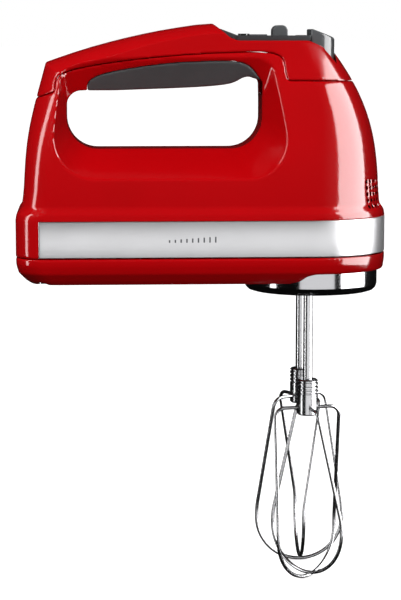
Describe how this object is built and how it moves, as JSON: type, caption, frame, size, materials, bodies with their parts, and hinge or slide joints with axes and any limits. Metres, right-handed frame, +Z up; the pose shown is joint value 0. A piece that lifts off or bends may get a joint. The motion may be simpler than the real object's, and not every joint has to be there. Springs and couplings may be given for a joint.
{
  "type": "hand mixer",
  "caption": "Electric hand mixer with a looped handle, a side trim band, a geared head and two removable wire beaters.",
  "frame": {"origin": "centre of the handle's grip, on the mid-plane", "axes": "+X towards the nose, +Y to the user's left, +Z up, away from the beaters"},
  "size_m": [0.2046, 0.0897, 0.3082],
  "materials": {
    "red_shell": "glossy injection-moulded plastic",
    "grip_rubber": "satin soft-touch rubber",
    "band_steel": "brushed along its length",
    "collar_chrome": "mirror chrome",
    "panel_plastic": "dark grey satin plastic",
    "lens": "smoked window",
    "black_rubber": "matt rubber",
    "bright_steel": "polished steel",
    "core_steel": "laminated steel",
    "copper": "enamelled copper wire",
    "bronze": "sintered bronze",
    "grey_nylon": "natural nylon",
    "brush_brass": "pressed brass",
    "carbon": "carbon",
    "board_green": "glass-fibre board",
    "switch_black": "moulded plastic",
    "capacitor_film": "potted film capacitor"
  },
  "bodies": {
    "housing": {"top_cover": "red_shell", "motor_housing": "red_shell", "base_cover": "red_shell", "trim_band": "band_steel", "handle_grip": "grip_rubber", "beater_collar": "collar_chrome", "cord_gland": "black_rubber", "field_core": "core_steel", "upper_field_coil": "copper", "lower_field_coil": "copper", "motor_front_bracket": "grey_nylon", "motor_rear_bracket": "grey_nylon", "front_bearing": "bronze", "rear_bearing": "bronze", "upper_brush": "carbon", "lower_brush": "carbon", "upper_brush_holder": "brush_brass", "lower_brush_holder": "brush_brass", "rear_mount_ring": "black_rubber", "front_mount_ring": "black_rubber", "motor_screws": "bright_steel", "gear_case": "grey_nylon", "gear_case_lid": "grey_nylon", "thrust_pad": "bronze", "gear_case_screws": "bright_steel", "housing_screws": "bright_steel", "left_bush": "bronze", "right_bush": "bronze", "control_panel": "panel_plastic", "display_lens": "lens", "control_board": "board_green", "key_switches": "switch_black", "slide_switch": "switch_black", "filter_capacitor": "capacitor_film", "ejector_spring": "bright_steel"},
    "rotor": {"motor_shaft": "bright_steel", "drive_worm": "bright_steel", "armature_core": "core_steel", "armature_winding": "copper", "commutator": "copper", "cooling_fan": "grey_nylon"},
    "left_drive": {"left_drive_wheel": "grey_nylon", "left_spindle": "bright_steel"},
    "right_drive": {"right_drive_wheel": "grey_nylon", "right_spindle": "bright_steel"},
    "left_pin": {"left_ejector_pin": "bright_steel"},
    "right_pin": {"right_ejector_pin": "bright_steel"},
    "left_beater": {"left_beater_stem": "bright_steel", "left_beater_hub": "bright_steel", "left_beater_loop_a": "bright_steel", "left_beater_loop_b": "bright_steel"},
    "right_beater": {"right_beater_stem": "bright_steel", "right_beater_hub": "bright_steel", "right_beater_loop_a": "bright_steel", "right_beater_loop_b": "bright_steel"},
    "eject": {"eject_button": "panel_plastic", "ejector_plunger": "grey_nylon"},
    "power_switch": {"power_switch": "panel_plastic"},
    "speed_up": {"speed_up_button": "panel_plastic"},
    "speed_down": {"speed_down_button": "panel_plastic"}
  },
  "joints": [
    {"name": "motor_spin", "type": "hinge", "parent": "housing", "child": "rotor", "pos_m": [0, 0, -0.088], "axis": [1, 0, 0], "continuous": true},
    {"name": "left_wheel_spin", "type": "hinge", "parent": "housing", "child": "left_drive", "pos_m": [0.073, 0.02, -0.088], "axis": [0, 0, 1], "continuous": true},
    {"name": "right_wheel_spin", "type": "hinge", "parent": "housing", "child": "right_drive", "pos_m": [0.073, -0.02, -0.088], "axis": [0, 0, 1], "continuous": true},
    {"name": "eject_press", "type": "slide", "parent": "housing", "child": "eject", "axis": [0, 0, -1], "range_m": [0, 0.008], "stiffness_N_per_m": 500, "springref_m": -0.005, "deforming": ["ejector_spring"]},
    {"name": "left_pin_push", "type": "slide", "parent": "left_drive", "child": "left_pin", "axis": [0, 0, -1], "range_m": [0, 0.008]},
    {"name": "left_beater_pull", "type": "slide", "parent": "left_pin", "child": "left_beater", "axis": [0, 0, -1], "range_m": [0, 0.04]},
    {"name": "right_pin_push", "type": "slide", "parent": "right_drive", "child": "right_pin", "axis": [0, 0, -1], "range_m": [0, 0.008]},
    {"name": "right_beater_pull", "type": "slide", "parent": "right_pin", "child": "right_beater", "axis": [0, 0, -1], "range_m": [0, 0.04]},
    {"name": "power_slide", "type": "slide", "parent": "housing", "child": "power_switch", "axis": [1, 0, 0], "range_m": [0, 0.004]},
    {"name": "speed_up_press", "type": "slide", "parent": "housing", "child": "speed_up", "axis": [0, 0, -1], "range_m": [0, 0.001], "stiffness_N_per_m": 300, "springref_m": -0.001},
    {"name": "speed_down_press", "type": "slide", "parent": "housing", "child": "speed_down", "axis": [0, 0, -1], "range_m": [0, 0.001], "stiffness_N_per_m": 300, "springref_m": -0.001}
  ],
  "couplings": [
    {"joint": "left_wheel_spin", "follows": "motor_spin", "ratio": -0.066667},
    {"joint": "right_wheel_spin", "follows": "motor_spin", "ratio": 0.066667},
    {"joint": "left_pin_push", "follows": "eject_press", "ratio": 1},
    {"joint": "right_pin_push", "follows": "eject_press", "ratio": 1}
  ]
}
